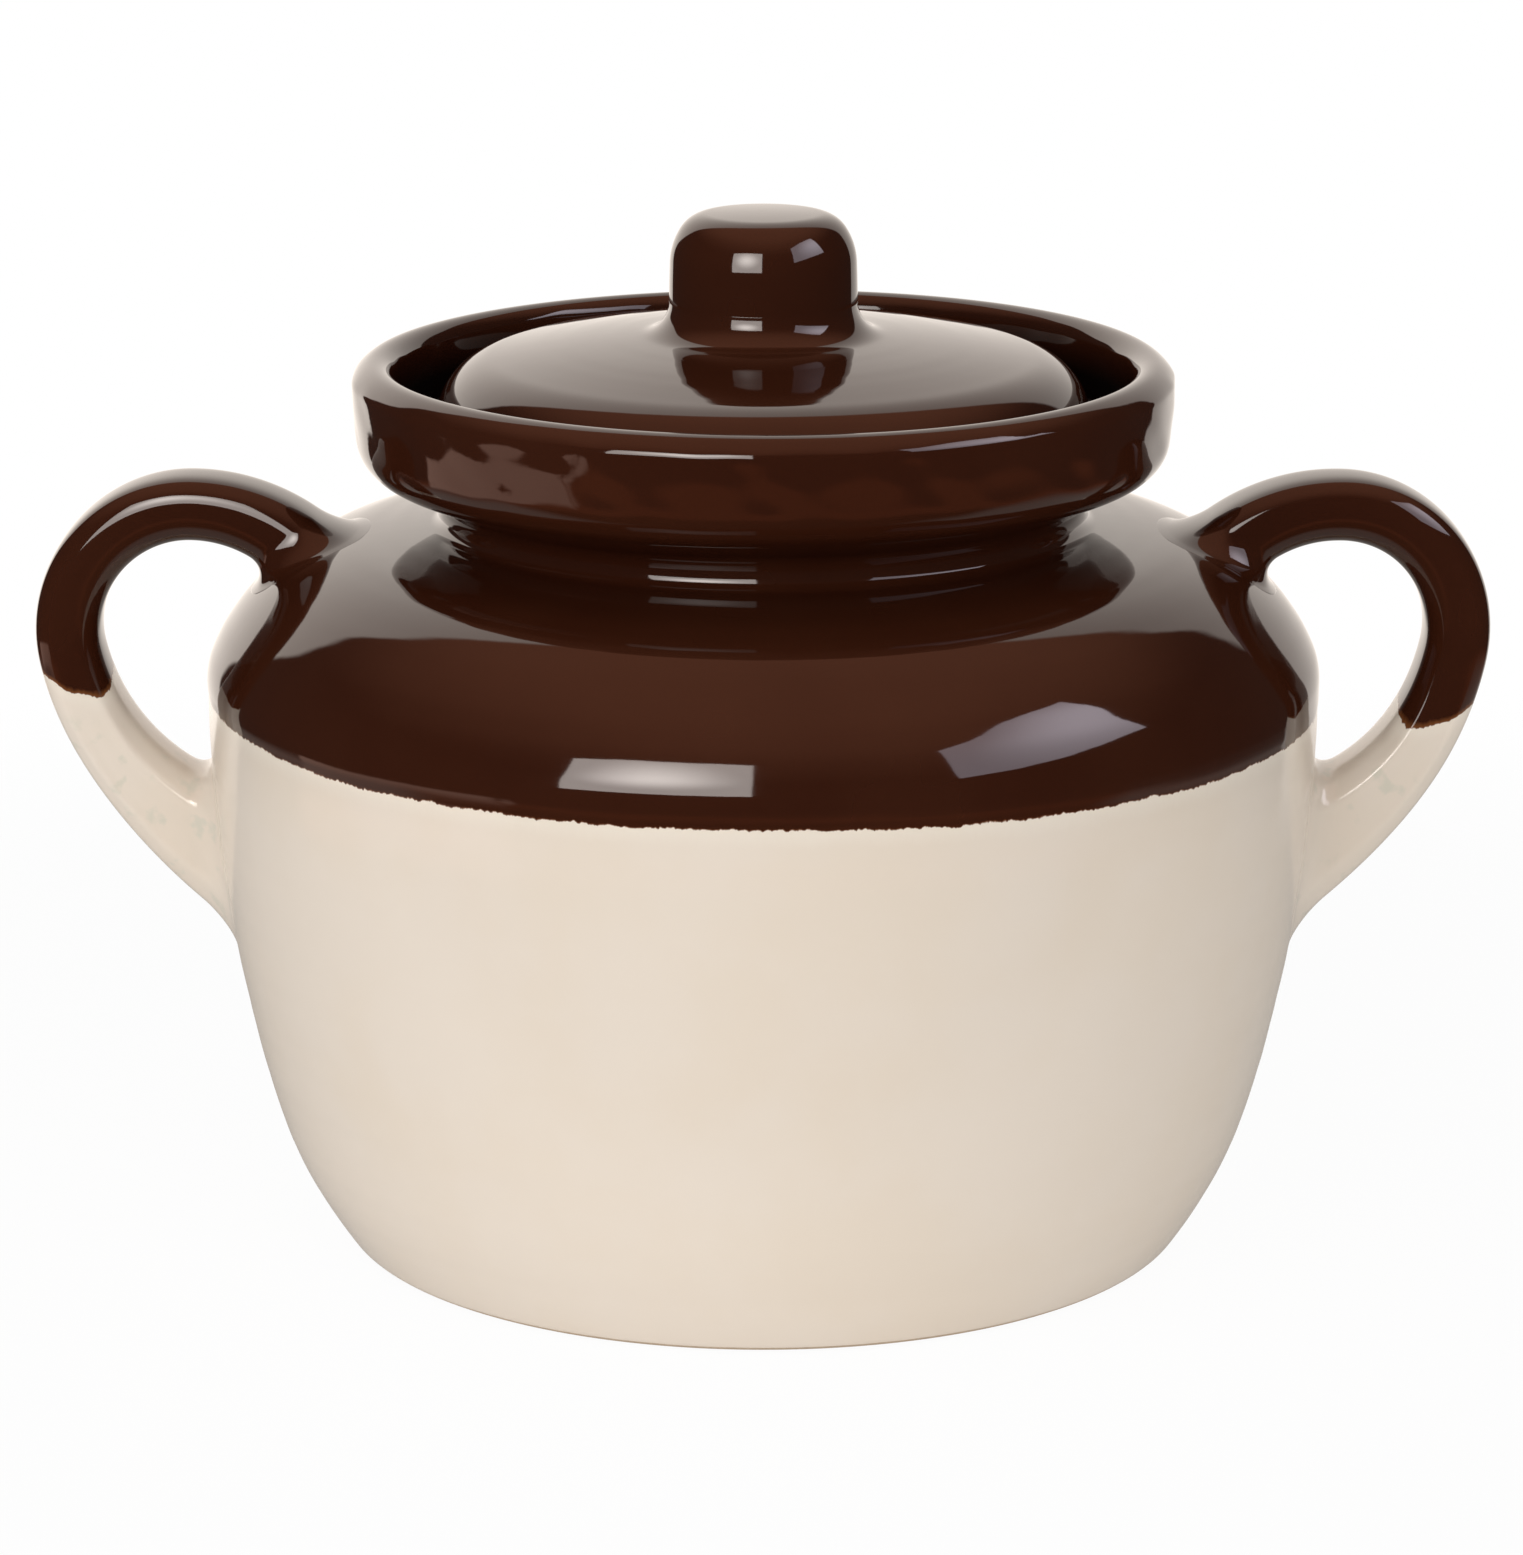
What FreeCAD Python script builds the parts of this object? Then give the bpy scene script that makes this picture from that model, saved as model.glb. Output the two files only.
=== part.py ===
import FreeCAD, Part

import math
import os

import Sketcher

# Two-handled stoneware bean pot with a loose inset lid.  Millimetres and degrees, Z up, the axis
# of the wheel on Z, the foot on Z = 0 and the handles along X.  Every piece of clay is one body:
# the turned pot, the two strap handles luted to it, the turned lid and the knob luted to the lid.

doc = FreeCAD.newDocument("bean_pot")

# ---------------------------------------------------------------- driving dimensions
# An angle is measured from the vertical: 0 is a plumb wall, 90 a level top.

DIMENSIONS = {
    # foot and wall
    "foot_radius": 65.5,
    "foot_round": 3,
    "foot_ring": 9,
    "foot_recess": 1.5,
    "floor_thickness": 6.5,
    "floor_round": 9,
    "wall_thickness": 6,
    "heel_height": 24.2,
    "wall_ratio": 0.404,  # of the way in from belly to foot, run by the time it reaches the heel
    # belly and shoulder
    "belly_radius": 88,
    "belly_height": 91,
    "belly_round": 9.5,
    "belly_angle": 24.4,
    "shoulder_round": 32.5,
    "shoulder_angle": 82,
    # neck, overhanging collar and rolled lip
    "neck_radius": 50.7,
    "neck_fillet": 2.3,
    "neck_run": 0.6,
    "undercut_fillet": 3.2,
    "undercut_angle": 67.5,
    "collar_overhang": 13.8,
    "collar_height": 15.8,
    "collar_round": 6.2,
    "collar_angle": 4.1,
    "lip_edge": 1.9,
    "lip_edge_angle": 28,
    "lip_brow": 4.8,
    "lip_brow_angle": 62,
    "lip_round": 2.8,
    # gallery, the ledge inside the collar on which the lid rests
    "gallery_depth": 12.7,
    "gallery_fillet": 2.5,
    "throat_step": 1.3,
    "throat_land": 5,
    # lid
    "lid_clearance": 5.8,
    "lid_thickness": 5.5,
    "lid_edge": 2.6,
    "edge_round": 10.8,
    "crown_angle": 78.5,
    "locating_clearance": 1.5,
    "locating_depth": 6,
    "locating_thickness": 4.5,
    "locating_round": 1.5,
    # knob
    "knob_radius": 14.8,
    "knob_fillet": 5,
    "knob_side": 155,
    "knob_side_angle": 3,
    "knob_top_round": 6.2,
    "knob_crown_angle": 86.5,
    # handles
    "handle_reach": 22.2,
    "handle_rise": 26.5,
    "arm_bow": 26,
    "grip_bow": 19.5,
    "grip_angle": 103,
    "lower_bow": 46,
    "arm_root_angle": 52.5,
    "lower_root_angle": 165,
    "grip_thickness": 10.4,
    "grip_width": 14.5,
    "arm_root_thickness": 12.5,
    "arm_root_width": 18,
    "lower_root_thickness": 26.5,
    "lower_root_width": 24,
    "grip_corner": 4.9,
}

# ---------------------------------------------------------------- worked dimensions
# Where one curve runs into the next.  A radius is taken from the axis, a height from the foot.

WORKED = {
    # the wall curve is plumb at the belly and ends where the heel curve begins; the heel curve is
    # tangent to it and to the small round at the foot
    "wall_drop": "{wall_ratio} * ({belly_radius} - {foot_radius})",
    "wall_rise": "{belly_height} - {heel_height}",
    "wall_bow": "({wall_rise}^2 + {wall_drop}^2) / (2 * {wall_drop})",
    "wall_angle": "2 * atan({wall_drop} / {wall_rise})",
    "heel_top_radius": "{belly_radius} - {wall_drop}",
    "heel_span": "{heel_top_radius} - {foot_radius}",
    "heel_rise": "{heel_height} - {foot_round}",
    "heel_bow": "({heel_span}^2 + {heel_rise}^2 - {foot_round}^2) / 2"
                " / ({heel_span} * cos({wall_angle}) - {heel_rise} * sin({wall_angle}) - {foot_round})",
    "heel_centre_radius": "{heel_top_radius} - {heel_bow} * cos({wall_angle})",
    "heel_centre_height": "{heel_height} + {heel_bow} * sin({wall_angle})",
    "foot_share": "{foot_round} / ({heel_bow} - {foot_round})",
    "foot_top_radius": "{foot_radius} + {foot_share} * ({foot_radius} - {heel_centre_radius})",
    "foot_top_height": "{foot_round} + {foot_share} * ({foot_round} - {heel_centre_height})",
    # belly, shoulder and the straight slope up to the neck
    "belly_top_radius": "{belly_radius} - {belly_round} * (1 - cos({belly_angle}))",
    "belly_top_height": "{belly_height} + {belly_round} * sin({belly_angle})",
    "shoulder_top_radius": "{belly_top_radius}"
                           " - {shoulder_round} * (cos({belly_angle}) - cos({shoulder_angle}))",
    "shoulder_top_height": "{belly_top_height}"
                           " + {shoulder_round} * (sin({shoulder_angle}) - sin({belly_angle}))",
    "neck_foot_radius": "{neck_radius} + {neck_fillet} * (1 - cos({shoulder_angle}))",
    "neck_foot_height": "{shoulder_top_height}"
                        " + ({shoulder_top_radius} - {neck_foot_radius}) / tan({shoulder_angle})",
    "neck_height": "{neck_foot_height} + {neck_fillet} * sin({shoulder_angle})",
    # collar: the undercut leaves the neck by a fillet and meets the collar's face at a rounded
    # corner; the lip is a tight edge, a broad brow and a round top that turns down inside
    "neck_top": "{neck_height} + {neck_run}",
    "lip_radius": "{neck_radius} + {collar_overhang}",
    "undercut_foot_radius": "{neck_radius} + {undercut_fillet} * (1 - cos({undercut_angle}))",
    "undercut_foot_height": "{neck_top} + {undercut_fillet} * sin({undercut_angle})",
    "brow_over": "{lip_brow} - {lip_round}",
    "edge_under": "{lip_brow} - {lip_edge}",
    "lip_edge_centre": "{lip_radius} - {lip_edge}",
    "lip_edge_drop": "{lip_round} + {brow_over} * sin({lip_brow_angle})"
                     " - {edge_under} * sin({lip_edge_angle})",
    "lip_brow_centre": "{lip_edge_centre} - {edge_under} * cos({lip_edge_angle})",
    "lip_centre": "{lip_brow_centre} + {brow_over} * cos({lip_brow_angle})",
    "face_rise": "{collar_height} - {lip_edge_drop} - {lip_edge} * sin({collar_angle})",
    "corner_radius": "{lip_edge_centre} + {lip_edge} * cos({collar_angle})"
                     " - {face_rise} * tan({collar_angle})",
    "corner_height": "{undercut_foot_height}"
                     " + ({corner_radius} - {undercut_foot_radius}) / tan({undercut_angle})",
    "corner_cut": "{collar_round} * tan(({undercut_angle} - {collar_angle}) / 2)",
    "rim_height": "{corner_height} + {collar_height}",
    "lip_edge_height": "{rim_height} - {lip_edge_drop}",
    "lip_height": "{rim_height} - {lip_round}",
    "lip_brow_height": "{lip_height} - {brow_over} * sin({lip_brow_angle})",
    # gallery: its wall is parallel to the collar's face
    "ledge_height": "{rim_height} - {gallery_depth}",
    "gallery_top_height": "{lip_height} + {lip_round} * sin({collar_angle})",
    "gallery_radius": "{lip_centre} - {lip_round} * cos({collar_angle})"
                      " - ({gallery_top_height} - {ledge_height}) * tan({collar_angle})",
    "gallery_cut": "{gallery_fillet} * tan((90 - {collar_angle}) / 2)",
    "throat_radius": "{neck_radius} - {wall_thickness} + {throat_step}",
    # inside of the wall: every curve keeps the outer curve's centre
    "floor_height": "{foot_recess} + {floor_thickness}",
    "inner_heel": "{heel_bow} - {wall_thickness}",
    "floor_drop": "{heel_centre_height} - {floor_height} - {floor_round}",
    "floor_reach": "sqrt(({inner_heel} - {floor_round})^2 - {floor_drop}^2)",
    "floor_radius": "{heel_centre_radius} + {floor_reach}",
    "floor_share": "{floor_round} / ({inner_heel} - {floor_round})",
    # lid
    "lid_radius": "{gallery_radius} - {lid_clearance}",
    "edge_height": "{ledge_height} + {lid_edge}",
    "crown_foot_radius": "{lid_radius} - {edge_round} * (1 - cos({crown_angle}))",
    "crown_foot_height": "{edge_height} + {edge_round} * sin({crown_angle})",
    "crown_bow": "{crown_foot_radius} / cos({crown_angle})",
    "crown_centre": "{crown_foot_height} - {crown_bow} * sin({crown_angle})",
    "boss_reach": "{knob_radius} + {knob_fillet}",
    "boss_height": "{crown_centre} + sqrt(({crown_bow} + {knob_fillet})^2 - {boss_reach}^2)",
    "boss_share": "{crown_bow} / ({crown_bow} + {knob_fillet})",
    "locating_radius": "{throat_radius} - {locating_clearance}",
    "hollow_radius": "{locating_radius} - {locating_thickness}",
    "inner_crown": "{crown_bow} - {lid_thickness}",
    "hollow_height": "{crown_centre} + sqrt({inner_crown}^2 - {hollow_radius}^2)",
    # knob: its side is plumb at the foot and leans in a little at the top
    "knob_side_radius": "{knob_radius} - {knob_side} * (1 - cos({knob_side_angle}))",
    "knob_side_height": "{boss_height} + {knob_side} * sin({knob_side_angle})",
    "knob_edge_radius": "{knob_side_radius}"
                        " - {knob_top_round} * (cos({knob_side_angle}) - cos({knob_crown_angle}))",
    "knob_edge_height": "{knob_side_height}"
                        " + {knob_top_round} * (sin({knob_crown_angle}) - sin({knob_side_angle}))",
    "knob_crown": "{knob_edge_radius} / cos({knob_crown_angle})",
    "knob_top": "{knob_edge_height} + {knob_crown} * (1 - sin({knob_crown_angle}))",
    # handle spine: top of the loop and the centre of the lower curve
    "loop_radius": "{belly_radius} + {handle_reach} - {grip_bow}",
    "loop_height": "{belly_height} + {handle_rise}",
    "lower_centre_radius": "{loop_radius} + ({grip_bow} - {lower_bow}) * sin({grip_angle})",
    "lower_centre_height": "{loop_height} - {grip_bow}"
                           " + ({grip_bow} - {lower_bow}) * cos({grip_angle})",
}

where = {name: f"Dimensions.{name}" for name in DIMENSIONS}
where.update({name: f"Worked.{name}" for name in WORKED})


def fill_sheet(name, cells):
    """A spreadsheet with one aliased cell for each entry."""
    sheet = doc.addObject("Spreadsheet::Sheet", name)
    for row, (alias, content) in enumerate(cells.items(), start=1):
        sheet.set(f"A{row}", alias)
        sheet.set(f"B{row}", content)
        sheet.setAlias(f"B{row}", alias)
    doc.recompute()
    return sheet


dimensions = fill_sheet("Dimensions", {name: str(size) for name, size in DIMENSIONS.items()})
worked = fill_sheet("Worked", {name: "=" + text.format_map(where) for name, text in WORKED.items()})


def formula(text):
    """The expression for a formula whose sizes stand in braces."""
    return str(text).format_map(where)


def value(text):
    """The number that a formula gives now."""
    return float(worked.evalExpression(formula(text)))


# ---------------------------------------------------------------- outlines
# An outline runs anticlockwise round the clay.  Each step is (kind, across, up, radius): a
# straight "line", an arc that bulges "out" of the clay or one that sinks "in", ending there.


def add_edge(sketch, kind, start, end, radius):
    """Add one edge from start to end; returns its number and its first and last point."""
    if kind == "line":
        return sketch.addGeometry(Part.LineSegment(start, end)), 1, 2
    chord = end - start
    left = FreeCAD.Vector(-chord.y, chord.x, 0).normalize()
    side = 1 if kind == "out" else -1
    centre = (start + end) / 2 + left * side * math.sqrt(radius ** 2 - (chord.Length / 2) ** 2)
    first, last = (start, end) if kind == "out" else (end, start)
    from_angle = math.atan2(first.y - centre.y, first.x - centre.x)
    to_angle = math.atan2(last.y - centre.y, last.x - centre.x)
    circle = Part.Circle(centre, FreeCAD.Vector(0, 0, 1), radius)
    number = sketch.addGeometry(Part.ArcOfCircle(circle, from_angle, to_angle))
    return (number, 1, 2) if kind == "out" else (number, 2, 1)


def hold(sketch, kind, *place, text):
    """A dimension of the sketch that follows its formula."""
    number = sketch.addConstraint(Sketcher.Constraint(kind, *place, value(text)))
    sketch.setExpression(f"Constraints[{number}]", formula(text))


def pin(sketch, edge, point, across, up):
    """Hold a point of an edge at its formulas, or on the axis that it lies on."""
    for kind, text, axis in (("DistanceX", across, -2), ("DistanceY", up, -1)):
        if text == "0":
            sketch.addConstraint(Sketcher.Constraint("PointOnObject", edge, point, axis))
        else:
            hold(sketch, kind, edge, point, text=text)


def trace(sketch, steps):
    """Draw a closed outline, every corner and every arc's radius held by its formula."""
    corners = [FreeCAD.Vector(value(step[1]), value(step[2]), 0) for step in steps]
    edges = []
    for number, (kind, across, up, *radius) in enumerate(steps):
        start = corners[number - 1]
        size = value(radius[0]) if radius else 0
        edge, first, last = add_edge(sketch, kind, start, corners[number], size)
        edges.append((edge, first, last))
        pin(sketch, edge, last, across, up)
        if radius:
            hold(sketch, "Radius", edge, text=radius[0])
    for before, after in zip(edges[-1:] + edges[:-1], edges):
        joint = Sketcher.Constraint("Coincident", before[0], before[2], after[0], after[1])
        sketch.addConstraint(joint)


def new_sketch(body, name, role):
    """A sketch on one of the body's own planes."""
    sketch = body.newObject("Sketcher::SketchObject", name)
    plane = next(item for item in body.Origin.OriginFeatures if item.Role == role)
    sketch.AttachmentSupport = [(plane, "")]
    sketch.MapMode = "FlatFace"
    return sketch


def new_body(label):
    body = doc.addObject("PartDesign::Body", label)
    body.Label = label
    return body


def spin(body, kind, name, steps):
    """Turn an outline about the pot's axis: a Revolution adds clay, a Groove cuts it away."""
    sketch = new_sketch(body, name + "_outline", "XZ_Plane")
    trace(sketch, steps)
    turned = body.newObject("PartDesign::" + kind, name)
    turned.Profile = sketch
    turned.ReferenceAxis = (sketch, ["V_Axis"])
    turned.Angle = 360
    doc.recompute()
    return turned


# the outer form of the pot, from the edge of the foot to the top of the lip
OUTER_FORM = [
    ("out", "{foot_top_radius}", "{foot_top_height}", "{foot_round}"),
    ("out", "{heel_top_radius}", "{heel_height}", "{heel_bow}"),
    ("out", "{belly_radius}", "{belly_height}", "{wall_bow}"),
    ("out", "{belly_top_radius}", "{belly_top_height}", "{belly_round}"),
    ("out", "{shoulder_top_radius}", "{shoulder_top_height}", "{shoulder_round}"),
    ("line", "{neck_foot_radius}", "{neck_foot_height}"),
    ("in", "{neck_radius}", "{neck_height}", "{neck_fillet}"),
    ("line", "{neck_radius}", "{neck_top}"),
    ("in", "{undercut_foot_radius}", "{undercut_foot_height}", "{undercut_fillet}"),
    ("line", "{corner_radius} - {corner_cut} * sin({undercut_angle})",
     "{corner_height} - {corner_cut} * cos({undercut_angle})"),
    ("out", "{corner_radius} + {corner_cut} * sin({collar_angle})",
     "{corner_height} + {corner_cut} * cos({collar_angle})", "{collar_round}"),
    ("line", "{lip_edge_centre} + {lip_edge} * cos({collar_angle})",
     "{lip_edge_height} - {lip_edge} * sin({collar_angle})"),
    ("out", "{lip_edge_centre} + {lip_edge} * cos({lip_edge_angle})",
     "{lip_edge_height} + {lip_edge} * sin({lip_edge_angle})", "{lip_edge}"),
    ("out", "{lip_brow_centre} + {lip_brow} * cos({lip_brow_angle})",
     "{lip_brow_height} + {lip_brow} * sin({lip_brow_angle})", "{lip_brow}"),
    ("out", "{lip_centre}", "{rim_height}", "{lip_round}"),
]

# the inner form, from the top of the lip down over the gallery to the middle of the floor
INNER_FORM = [
    ("out", "{lip_centre} - {lip_round} * cos({collar_angle})", "{gallery_top_height}",
     "{lip_round}"),
    ("line", "{gallery_radius} + {gallery_cut} * sin({collar_angle})",
     "{ledge_height} + {gallery_cut} * cos({collar_angle})"),
    ("in", "{gallery_radius} - {gallery_cut}", "{ledge_height}", "{gallery_fillet}"),
    ("line", "{throat_radius}", "{ledge_height}"),
    ("line", "{throat_radius}", "{ledge_height} - {throat_land}"),
    ("line", "{neck_radius} - {wall_thickness}", "{neck_height}"),
    ("out", "{neck_foot_radius} - {wall_thickness} * cos({shoulder_angle})",
     "{neck_foot_height} - {wall_thickness} * sin({shoulder_angle})",
     "{neck_fillet} + {wall_thickness}"),
    ("line", "{shoulder_top_radius} - {wall_thickness} * cos({shoulder_angle})",
     "{shoulder_top_height} - {wall_thickness} * sin({shoulder_angle})"),
    ("in", "{belly_top_radius} - {wall_thickness} * cos({belly_angle})",
     "{belly_top_height} - {wall_thickness} * sin({belly_angle})",
     "{shoulder_round} - {wall_thickness}"),
    ("in", "{belly_radius} - {wall_thickness}", "{belly_height}",
     "{belly_round} - {wall_thickness}"),
    ("in", "{heel_top_radius} - {wall_thickness} * cos({wall_angle})",
     "{heel_height} + {wall_thickness} * sin({wall_angle})",
     "{wall_bow} - {wall_thickness}"),
    ("in", "{floor_radius} + {floor_share} * {floor_reach}",
     "{floor_height} + {floor_round} - {floor_share} * {floor_drop}", "{inner_heel}"),
    ("in", "{floor_radius}", "{floor_height}", "{floor_round}"),
    ("line", "0", "{floor_height}"),
]

# ---------------------------------------------------------------- pot
# One thrown piece: recessed foot, belly, shoulder, neck, a collar that overhangs it and ends in a
# rolled lip, and inside the collar the level gallery on which the lid sits.

pot_body = new_body("pot_body")
foot = [
    ("line", "0", "{foot_recess}"),
    ("line", "{foot_radius} - {foot_ring} - {foot_recess}", "{foot_recess}"),
    ("line", "{foot_radius} - {foot_ring}", "0"),
    ("line", "{foot_radius}", "0"),
]
spin(pot_body, "Revolution", "thrown_pot", foot + OUTER_FORM + INNER_FORM)


# ---------------------------------------------------------------- handles
# A pulled strap, bent into a loop over three tangent curves and coped to the pot, whose own
# outer form cuts the two roots.  A station is its turn past the top of the loop, the point of
# the spine there, and how far the strap has swelled towards a root.

ARM_STATIONS = (1, 0.72, 0.44, 0.18)
GRIP_STATIONS = (0, 0.26, 0.52, 0.78)
LOWER_STATIONS = (0, 0.25, 0.48, 0.68, 0.85, 1)
SWELL_LEAD = 0.12  # share of the lower swelling that has run before the lower curve begins
CORNER_RATIO = 0.48  # at most, of a side, so that a narrow flat is left between two corners


def strap_stations():
    """(turn, across, up, thickness, width) of each section of the strap, root to root."""
    for share in ARM_STATIONS:
        turn = f"({share} * {{arm_root_angle}})"
        yield (f"-{turn}", f"{{loop_radius}} - {{arm_bow}} * sin{turn}",
               f"{{loop_height}} - {{arm_bow}} * (1 - cos{turn})",
               *(f"{{grip_{size}}} + ({{arm_root_{size}}} - {{grip_{size}}}) * {share ** 2}"
                 for size in ("thickness", "width")))
    for share in GRIP_STATIONS:
        turn = f"({share} * {{grip_angle}})"
        yield (turn, f"{{loop_radius}} + {{grip_bow}} * sin{turn}",
               f"{{loop_height}} - {{grip_bow}} * (1 - cos{turn})",
               "{grip_thickness}", "{grip_width}")
    for share in LOWER_STATIONS:
        turn = f"({{grip_angle}} + {share} * ({{lower_root_angle}} - {{grip_angle}}))"
        yield (turn, f"{{lower_centre_radius}} + {{lower_bow}} * sin{turn}",
               f"{{lower_centre_height}} + {{lower_bow}} * cos{turn}",
               *(f"{{grip_{size}}} + ({{lower_root_{size}}} - {{grip_{size}}})"
                 f" * {(SWELL_LEAD + (1 - SWELL_LEAD) * share) ** 3}"
                 for size in ("thickness", "width")))


def strap_section(body, name, turn, across, up, thickness, width):
    """A round-cornered section of the strap, square to the spine at one station."""
    sketch = new_sketch(body, name, "YZ_Plane")
    tilt = FreeCAD.Rotation(FreeCAD.Vector(1, 0, 0), value(turn))
    place = FreeCAD.Vector(0, value(up), value(across))
    sketch.AttachmentOffset = FreeCAD.Placement(place, tilt)
    sketch.setExpression("AttachmentOffset.Base.y", formula(up))
    sketch.setExpression("AttachmentOffset.Base.z", formula(across))
    sketch.setExpression("AttachmentOffset.Rotation.Angle", formula(turn))
    half, deep = f"({width}) / 2", f"({thickness}) / 2"
    corner = f"{{grip_corner}} * ({thickness}) / {{grip_thickness}}"
    corner = f"min({corner}; {CORNER_RATIO} * ({thickness}); {CORNER_RATIO} * ({width}))"
    steps = []
    for x_sign, y_sign in ((1, -1), (1, 1), (-1, 1), (-1, -1)):
        beside = (f"{x_sign} * ({half})", f"{y_sign} * ({deep} - {corner})")
        above = (f"{x_sign} * ({half} - {corner})", f"{y_sign} * ({deep})")
        first, second = (above, beside) if x_sign != y_sign else (beside, above)
        steps.append(("line", *first))
        steps.append(("out", *second, corner))
    trace(sketch, steps)
    return sketch


def make_handle(label, side):
    """One strap handle; side is the turn about the pot's axis that brings it to its place."""
    body = new_body(label)
    sections = [strap_section(body, f"{label}_section_{number}", *station)
                for number, station in enumerate(strap_stations())]
    doc.recompute()
    strap = body.newObject("PartDesign::AdditiveLoft", label + "_strap")
    strap.Profile = sections[0]
    strap.Sections = sections[1:]
    doc.recompute()
    pot_form = [("line", "0", "0"), ("line", "{foot_radius}", "0")] + OUTER_FORM
    spin(body, "Groove", label + "_coping", pot_form + [("line", "0", "{rim_height}")])
    body.Placement = FreeCAD.Placement(
        FreeCAD.Vector(), FreeCAD.Rotation(FreeCAD.Vector(0, 0, 1), side))
    return body


handle_right = make_handle("handle_right", 0)
handle_left = make_handle("handle_left", 180)

# ---------------------------------------------------------------- lid
# One turned piece: a shallow dome of even thickness with a full edge, a locating ring that hangs
# in the throat, and a flared boss on the crown that carries the knob.

lid = new_body("lid")
spin(lid, "Revolution", "turned_lid", [
    ("line", "0", "{crown_centre} + {inner_crown}"),
    ("in", "{hollow_radius}", "{hollow_height}", "{inner_crown}"),
    ("line", "{hollow_radius}", "{ledge_height} - {locating_depth} + {locating_round}"),
    ("out", "{hollow_radius} + {locating_round}", "{ledge_height} - {locating_depth}",
     "{locating_round}"),
    ("line", "{locating_radius} - {locating_round}", "{ledge_height} - {locating_depth}"),
    ("out", "{locating_radius}", "{ledge_height} - {locating_depth} + {locating_round}",
     "{locating_round}"),
    ("line", "{locating_radius}", "{ledge_height}"),
    ("line", "{lid_radius}", "{ledge_height}"),
    ("line", "{lid_radius}", "{edge_height}"),
    ("out", "{crown_foot_radius}", "{crown_foot_height}", "{edge_round}"),
    ("out", "{boss_reach} * {boss_share}",
     "{crown_centre} + ({boss_height} - {crown_centre}) * {boss_share}", "{crown_bow}"),
    ("in", "{knob_radius}", "{boss_height}", "{knob_fillet}"),
    ("line", "0", "{boss_height}"),
])

# ---------------------------------------------------------------- knob
# A turned knob, its side a little bowed, its top edge well rounded and its top crowned.  Its
# flat foot is luted to the boss of the lid.

lid_knob = new_body("lid_knob")
spin(lid_knob, "Revolution", "turned_knob", [
    ("line", "0", "{boss_height}"),
    ("line", "{knob_radius}", "{boss_height}"),
    ("out", "{knob_side_radius}", "{knob_side_height}", "{knob_side}"),
    ("out", "{knob_edge_radius}", "{knob_edge_height}", "{knob_top_round}"),
    ("out", "0", "{knob_top}", "{knob_crown}"),
])

# ---------------------------------------------------------------- check and write

doc.recompute()
pieces = [pot_body, handle_left, handle_right, lid, lid_knob]
faulty = [item.Name for item in doc.Objects if "Invalid" in item.State or "Error" in item.State]
if faulty:
    raise RuntimeError("these did not compute: " + ", ".join(faulty))
for piece in pieces:
    if piece.Shape.isNull() or not piece.Shape.isValid() or len(piece.Shape.Solids) != 1:
        raise RuntimeError(piece.Label + " is not one valid solid")

os.makedirs("parts", exist_ok=True)
for piece in pieces:
    piece.Shape.exportStep(f"parts/{piece.Label}.step")
    size = piece.Shape.BoundBox
    print(f"{piece.Label}: {piece.Shape.Volume / 1000:.1f} cm3,"
          f" x {size.XMin:.1f} {size.XMax:.1f}, z {size.ZMin:.2f} {size.ZMax:.2f}")
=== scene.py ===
"""A two-handled stoneware bean pot with a loose inset lid, dressed in its glazes.

Sizes of clay are in millimetres and become metres as a mesh is made.  A turn is the lean of a
surface inwards from plumb, in degrees: 0 is a plumb wall, 90 a level top, -90 a level underside.
"""

import math

import bpy
import numpy as np
from mathutils import Matrix, Vector


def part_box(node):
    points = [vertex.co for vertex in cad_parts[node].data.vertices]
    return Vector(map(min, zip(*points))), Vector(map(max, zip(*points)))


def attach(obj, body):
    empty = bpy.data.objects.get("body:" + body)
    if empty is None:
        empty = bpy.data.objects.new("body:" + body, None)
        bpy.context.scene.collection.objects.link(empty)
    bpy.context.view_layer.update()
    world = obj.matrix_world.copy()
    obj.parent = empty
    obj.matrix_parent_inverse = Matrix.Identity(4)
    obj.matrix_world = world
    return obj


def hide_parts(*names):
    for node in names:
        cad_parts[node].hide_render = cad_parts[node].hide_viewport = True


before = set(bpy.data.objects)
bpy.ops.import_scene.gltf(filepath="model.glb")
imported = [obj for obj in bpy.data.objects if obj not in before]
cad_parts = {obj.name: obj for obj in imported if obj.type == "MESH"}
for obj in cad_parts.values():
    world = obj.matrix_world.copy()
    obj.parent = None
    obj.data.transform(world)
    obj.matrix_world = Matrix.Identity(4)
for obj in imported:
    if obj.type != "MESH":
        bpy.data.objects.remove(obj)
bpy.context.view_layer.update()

# ---------------------------------------------------------------- camera
# A long lens about a metre away, looking a little down on the middle of the pot.  The view keeps
# colours as they are written.

SENSOR_WIDTH = 36.0
PICTURE_HEIGHT = 1555
FOCAL_LENGTH_PIXELS = 6044.5
CAMERA_DROP = math.radians(14.712)
CAMERA_DISTANCE = 0.9671
CAMERA_AIM = Vector((-0.0003, 0.0, 0.0729))

lens = bpy.data.cameras.new("camera")
lens.sensor_width = SENSOR_WIDTH
lens.lens = FOCAL_LENGTH_PIXELS * SENSOR_WIDTH / PICTURE_HEIGHT
camera = bpy.data.objects.new("camera", lens)
backwards = Vector((0, -math.cos(CAMERA_DROP), math.sin(CAMERA_DROP)))
camera.location = CAMERA_AIM + CAMERA_DISTANCE * backwards
camera.rotation_euler = (math.pi / 2 - CAMERA_DROP, 0, 0)
scene = bpy.context.scene
scene.collection.objects.link(camera)
scene.camera = camera
scene.view_settings.view_transform = "Standard"

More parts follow.
